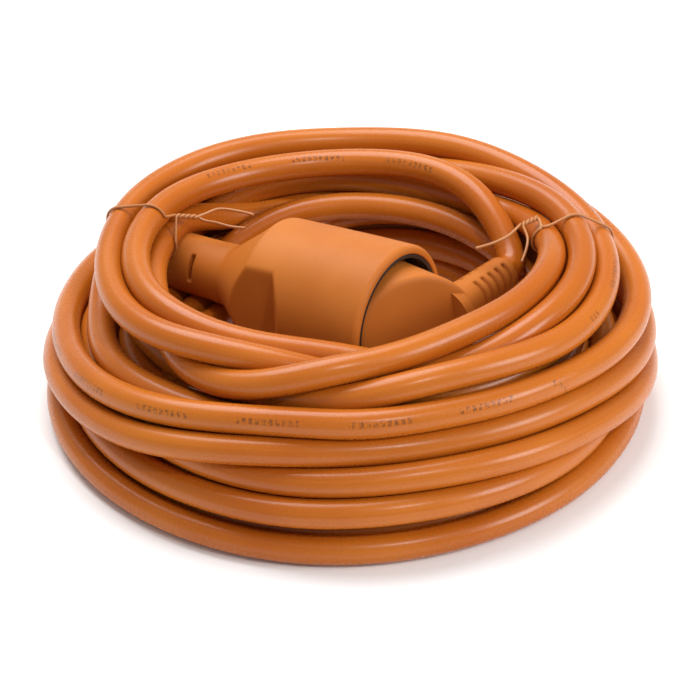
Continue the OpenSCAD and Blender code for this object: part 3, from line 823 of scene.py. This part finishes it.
PLUG_FACE = -17.2
DISC_BACK = -6.2
PLUG_R = 19.2
BACK_LOW = -0.8
BACK_HIGH = 17.0
BACK_RISE = 0.6
BACK_TURN = math.radians(13)
BODY_ROOT_R = 18.3
BODY_BACK_R = 15.8
BRIDGE_R = 13.45
BRIDGE_SEAT = -9.7
EYE_X = -4.0
ROUNDNESS = 22.0
DISC_PROFILE = [(DISC_BACK, BODY_ROOT_R + 0.3), (DISC_BACK, PLUG_R - 0.8),
                (DISC_BACK - 0.25, PLUG_R - 0.2), (DISC_BACK - 0.8, PLUG_R),
                (PLUG_FACE + 0.8, PLUG_R), (PLUG_FACE + 0.25, PLUG_R - 0.2),
                (PLUG_FACE, PLUG_R - 0.8), (PLUG_FACE, BRIDGE_R + 0.4),
                (PLUG_FACE + 0.3, BRIDGE_R), (BRIDGE_SEAT, BRIDGE_R), (BRIDGE_SEAT, 6.0),
                (BRIDGE_SEAT, 0.4)]


def make_plug(look):
    """The body is seen from a point on its axis: along each ray the skin is at the nearest of
    the slanted back, the flat top of that back and the tapering side, rounded where two
    of them cross. The wide disc and its hollow for the pin carrier follow in front."""
    around = np.linspace(0, 2 * math.pi, 144, endpoint=False)[None, :]
    view = np.radians(np.concatenate([np.linspace(0.5, 30, 16), np.linspace(31, 99, 69)]))[:, None]
    fall = (BODY_ROOT_R - BODY_BACK_R) / (BACK_HIGH - DISC_BACK)
    side_at_eye = BODY_ROOT_R - fall * (EYE_X - DISC_BACK)
    side = side_at_eye / (np.sin(view) + fall * np.cos(view)) + 0 * around
    facing = np.cos(view) - BACK_RISE * np.sin(view) * np.cos(around + BACK_TURN)
    back = (BACK_LOW + BACK_RISE * BODY_BACK_R - EYE_X) / np.maximum(facing, 0.02)
    cap = (BACK_HIGH - EYE_X) / np.maximum(np.cos(view), 0.02) + 0 * around
    reach = (side ** -ROUNDNESS + back ** -ROUNDNESS + cap ** -ROUNDNESS) ** (-1 / ROUNDNESS)
    body_x = EYE_X + reach * np.cos(view)
    body_r = reach * np.sin(view)
    disc = np.array(DISC_PROFILE)
    x = np.concatenate([body_x, np.repeat(disc[:, :1], around.shape[1], axis=1)])
    r = np.concatenate([body_r, np.repeat(disc[:, 1:], around.shape[1], axis=1)])
    rings = np.stack([x, r * np.cos(around), r * np.sin(around)], axis=-1)
    piece = grid_piece("plug_moulding", MOUTH + rings @ AXIS.T)
    piece.data.materials.append(look)
    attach(piece, "plug")
    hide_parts("plug_body")


GROOVES_AT = tuple(24.2 + 4.0 * i for i in range(5))
GROOVE_W = 1.7
GROOVE_DEPTH = 1.5
BAND_HALF = 2.2
BOOT_FROM = 11.5
FLARE = 2.6
FLARE_FROM = 13.0
FLARE_LENGTH = 2.4


def make_boot(look):
    """A cone along the boot's axis that flares into the body. Its grooves run round both
    sides and fade out at the plain bands along its top and bottom."""
    y = np.concatenate([np.linspace(9, 22, 27), np.linspace(22.25, 42, 80),
                        BOOT_END - 1 + np.sin(np.linspace(0, math.pi / 2, 7))])
    r = np.interp(y, [9, BOOT_FROM, BOOT_END], [BOOT_ROOT_R, BOOT_ROOT_R, BOOT_END_R])
    r = r + FLARE * np.exp(-np.maximum(y - FLARE_FROM, 0) / FLARE_LENGTH)
    round_off = np.sqrt(np.clip(1 - np.clip(y - BOOT_END + 1, 0, 1) ** 2, 0, 1))
    r = r - 1.0 * (1 - round_off)
    angle = np.linspace(0, 2 * math.pi, 120, endpoint=False)
    r = np.repeat(r[:, None], len(angle), axis=1)
    off_band = step_up(np.abs(r * np.cos(angle)[None, :]), BAND_HALF - 0.4, BAND_HALF + 0.5)
    for place in GROOVES_AT:
        sink = step_up(GROOVE_W / 2 + 0.2 - np.abs(y - place), 0, 0.45)[:, None]
        r = r - GROOVE_DEPTH * sink * off_band
    local = np.stack([BOOT_X + r * np.cos(angle), np.repeat(y[:, None], len(angle), axis=1),
                      r * np.sin(angle)], axis=-1)
    piece = grid_piece("plug_strain_relief", MOUTH + local @ AXIS.T)
    piece.data.materials.append(look)
    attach(piece, "plug")
    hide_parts("plug_boot")


# ---------------------------------------------------------------- ties

TIE_R = 0.45
TIE_SIDES = 8
TIE_STEP = 0.8
TWISTS = 2
# A direction that no stretch of a tie points along
TIE_REF = np.array([0.31, 0.17, 0.93])


def hull(points):
    """The outline that a tight band takes round flat points, walked one way round."""
    order = points[np.lexsort((points[:, 1], points[:, 0]))]

    def half(row):
        chain = []
        for p in row:
            while len(chain) > 1:
                u, v = chain[-1] - chain[-2], p - chain[-2]
                if u[0] * v[1] - u[1] * v[0] > 0:
                    break
                chain.pop()
            chain.append(p)
        return chain[:-1]
    return np.array(half(order) + half(order[::-1]))


def band_round(line, azimuth, inside, lean=0.0):
    """A wire's loop round the cord's turns that cross the upright plane at an azimuth and
    lie within inside, a test on distance and height. It keeps the wire's own radius off."""
    a = math.radians(azimuth)
    out = np.array([math.cos(a), math.sin(a), 0])
    across = np.array([-math.sin(a), math.cos(a), 0])
    side = line @ across
    crossing = (side[:-1] * side[1:] < 0) & (line[:-1] @ out > 0)
    where = line[:-1][crossing]
    flat = np.stack([where @ out, where[:, 2]], axis=1)
    flat = flat[inside(flat)]
    round_cord = np.linspace(0, 2 * math.pi, 40, endpoint=False)
    ring = (CORD_R + TIE_R + 0.1) * np.stack([np.cos(round_cord), np.sin(round_cord)], axis=1)
    band = hull((flat[:, None, :] + ring[None]).reshape(-1, 2))
    tilt = lean * (band[:, :1] - band[:, 0].mean())
    return band[:, :1] * out + band[:, 1:] * UP + tilt * across


def twisted(start, end, turns, offset, phase):
    """One wire of a twisted pair: it winds round the line between two points."""
    t = np.linspace(0, 1, 8 * turns + 1)[:, None]
    heading = unit(end - start)
    side = unit(np.cross(heading, UP))
    top = np.cross(side, heading)
    angle = 2 * math.pi * turns * t + phase
    return start + (end - start) * t + offset * (np.cos(angle) * side + np.sin(angle) * top)


def make_tie(name, node, band, knot, tails, look):
    """Two wires: each runs from its loose tail through the twist to half of the band."""
    near = int(np.argmin(np.linalg.norm(band - knot[0], axis=1)))
    loop = np.roll(band, -near, axis=0)
    offset = TIE_R * 1.05
    first = np.concatenate([tails[0][::-1], twisted(*knot, TWISTS, offset, 0.0)[::-1], loop[1:]])
    second = np.concatenate([tails[1][::-1], twisted(*knot, TWISTS, offset, math.pi)[::-1],
                             loop[:1], loop[:0:-1][:3]])
    parts = []
    for number, way in enumerate((first, second)):
        rings = tube_rings(smooth_line(way, TIE_STEP), TIE_R, TIE_SIDES, TIE_REF)
        parts.append(grid_piece(f"{name}_{number}", rings))
    mesh = bpy.data.meshes.new(name)
    work = bmesh.new()
    for part in parts:
        work.from_mesh(part.data)
        bpy.data.objects.remove(part)
    work.to_mesh(mesh)
    work.free()
    piece = bpy.data.objects.new(name, mesh)
    bpy.context.scene.collection.objects.link(piece)
    piece.data.materials.append(look)
    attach(piece, "root")
    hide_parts(node)


def make_ties(line, look):
    """Each tie goes round the upper turns at its azimuth, and its knot and loose ends lie
    inside the coil."""
    left = band_round(line, 164, lambda f: (f[:, 1] > 38) & (f[:, 0] > 56) & (f[:, 0] < 78))
    make_tie("left_tie_wire", "left_tie", left,
             (np.array([-54.0, 20.5, 50.5]), np.array([-48.0, 21.5, 49.5])),
             (np.array([[-45, 22.5, 50], [-41, 24, 50.8], [-35, 22.5, 51], [-30, 20.3, 51]]),
              np.array([[-45, 20, 49], [-42, 18.2, 49.5], [-37, 15, 50], [-32.5, 13.2, 50.5]])), look)
    right = band_round(line, 12, lambda f: (f[:, 1] > 40) & (f[:, 0] > 56) & (f[:, 0] < 84))
    make_tie("right_tie_wire", "right_tie", right,
             (np.array([57.5, 17.0, 52.0]), np.array([52.5, 14.5, 51.0])),
             (np.array([[48, 9.5, 50], [43, 6, 49.5], [38, 4, 49]]),
              np.array([[54, 10, 49], [53.5, 6, 47.5], [52, 2, 45.5]])), look)


# ---------------------------------------------------------------- studio


def make_floor():
    """A wide pale sheet that rises in one easy curve behind the coil."""
    x = np.linspace(-2.5, 2.5, 3)
    y = np.concatenate([[-2.5, -1.0], np.linspace(0.6, 2.4, 24)])
    z = np.where(y > 0.6, (np.maximum(y - 0.6, 0) / 1.8) ** 2 * 1.4, 0)
    verts = np.stack([np.tile(x, len(y)), np.repeat(y, 3), np.repeat(z, 3)], axis=1)
    a = (np.arange(len(y) - 1)[:, None] * 3 + np.arange(2)[None, :]).ravel()
    mesh = bpy.data.meshes.new("studio_floor")
    mesh.from_pydata(verts.tolist(), [], np.stack([a, a + 1, a + 4, a + 3], axis=1).tolist())
    mesh.polygons.foreach_set("use_smooth", np.ones(len(a), bool))
    mesh.update()
    floor = bpy.data.objects.new("studio_floor", mesh)
    bpy.context.scene.collection.objects.link(floor)
    look = Look("pale_paper", Roughness=0.9)
    tone = look.noise(look.place(), 8, 2)
    look.feed("Base Color", look.mix(tone, (0.93, 0.93, 0.93, 1), (0.95, 0.95, 0.95, 1)))
    mesh.materials.append(look.material)


LIGHT_AIM = (0, 0, 0.03)


def add_light(name, place, size, power):
    """A round soft light that faces the coil."""
    data = bpy.data.lights.new(name, "AREA")
    data.shape = "DISK"
    data.size = size
    data.energy = power
    light = bpy.data.objects.new(name, data)
    bpy.context.scene.collection.objects.link(light)
    place = np.asarray(place, float)
    away = mathutils.Vector(place - np.asarray(LIGHT_AIM))
    light.location = place
    light.rotation_euler = away.to_track_quat("Z", "Y").to_euler()


def make_light():
    """Pale air all round, a wide light above the rear, one from the right, and a small one
    that draws the thin streaks on the sheath."""
    world = bpy.data.worlds.new("studio_air")
    world.use_nodes = True
    world.node_tree.nodes["Background"].inputs["Color"].default_value = (1, 1, 1, 1)
    world.node_tree.nodes["Background"].inputs["Strength"].default_value = 0.42
    bpy.context.scene.world = world
    add_light("overhead", (-0.25, 0.5, 1.15), 1.1, 19)
    add_light("right", (0.95, -0.4, 0.55), 0.5, 6.5)
    add_light("front_right", (0.4, -0.75, 1.1), 0.07, 3)
    bpy.context.scene.view_settings.view_transform = "Standard"


# ---------------------------------------------------------------- assembly

INSERT_DARK = (0.012, 0.009, 0.008, 1)
INSERT_LIGHT = (0.022, 0.017, 0.014, 1)
INSERT_ROUGH = 0.45
CAD_FINISHES = {
    "dark_insert": (("socket_insert", "socket_cover", "pin_bridge"),
                    INSERT_DARK, INSERT_LIGHT, INSERT_ROUGH, 0.0),
    "contact_brass": (("socket_line_contact", "socket_neutral_contact", "socket_earth_clip"),
                      (0.62, 0.42, 0.16, 1), (0.72, 0.52, 0.22, 1), 0.32, 1.0),
    "pin_nickel": (("line_pin", "neutral_pin", "plug_earth_strip"),
                   (0.55, 0.55, 0.53, 1), (0.66, 0.66, 0.64, 1), 0.25, 1.0),
    "copper": (("socket_strands", "plug_strands"),
               (0.7, 0.3, 0.16, 1), (0.82, 0.4, 0.22, 1), 0.35, 1.0),
    "core_brown": (("socket_line_core", "plug_line_core"),
                   (0.1, 0.04, 0.02, 1), (0.14, 0.06, 0.03, 1), 0.4, 0.0),
    "core_blue": (("socket_neutral_core", "plug_neutral_core"),
                  (0.03, 0.12, 0.42, 1), (0.05, 0.17, 0.5, 1), 0.4, 0.0),
    "core_green": (("socket_earth_core", "plug_earth_core"),
                   (0.1, 0.32, 0.05, 1), (0.6, 0.58, 0.06, 1), 0.4, 0.0),
}


def finish_cad_nodes(sheath):
    """Every carried-over CAD node gets its maker's finish in place of its flat colour."""
    for name, (nodes, dark, light, rough, metal) in CAD_FINISHES.items():
        look = plain_look(name, dark, light, rough, metal)
        for node in nodes:
            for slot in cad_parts[node].material_slots:
                slot.material = look
    for node in ("socket_sheath_end", "plug_sheath_end"):
        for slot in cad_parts[node].material_slots:
            slot.material = sheath


cord_look = sheath_look()
soft_look = mould_look()
tie_look = plain_look("tie_coating", (0.42, 0.15, 0.04, 1), (0.5, 0.2, 0.06, 1), 0.4)
settled = make_cord(make_line(), cord_look)
make_socket(soft_look)
make_plug(soft_look)
make_boot(soft_look)
make_ties(settled, tie_look)
# the liner's dark front edge, partly painted shade for the gap round the plug
make_liner_rim_and_gap_shade(plain_look("liner_edge_and_gap_shade", INSERT_DARK, INSERT_LIGHT, INSERT_ROUGH))
finish_cad_nodes(soft_look)
make_floor()
make_light()
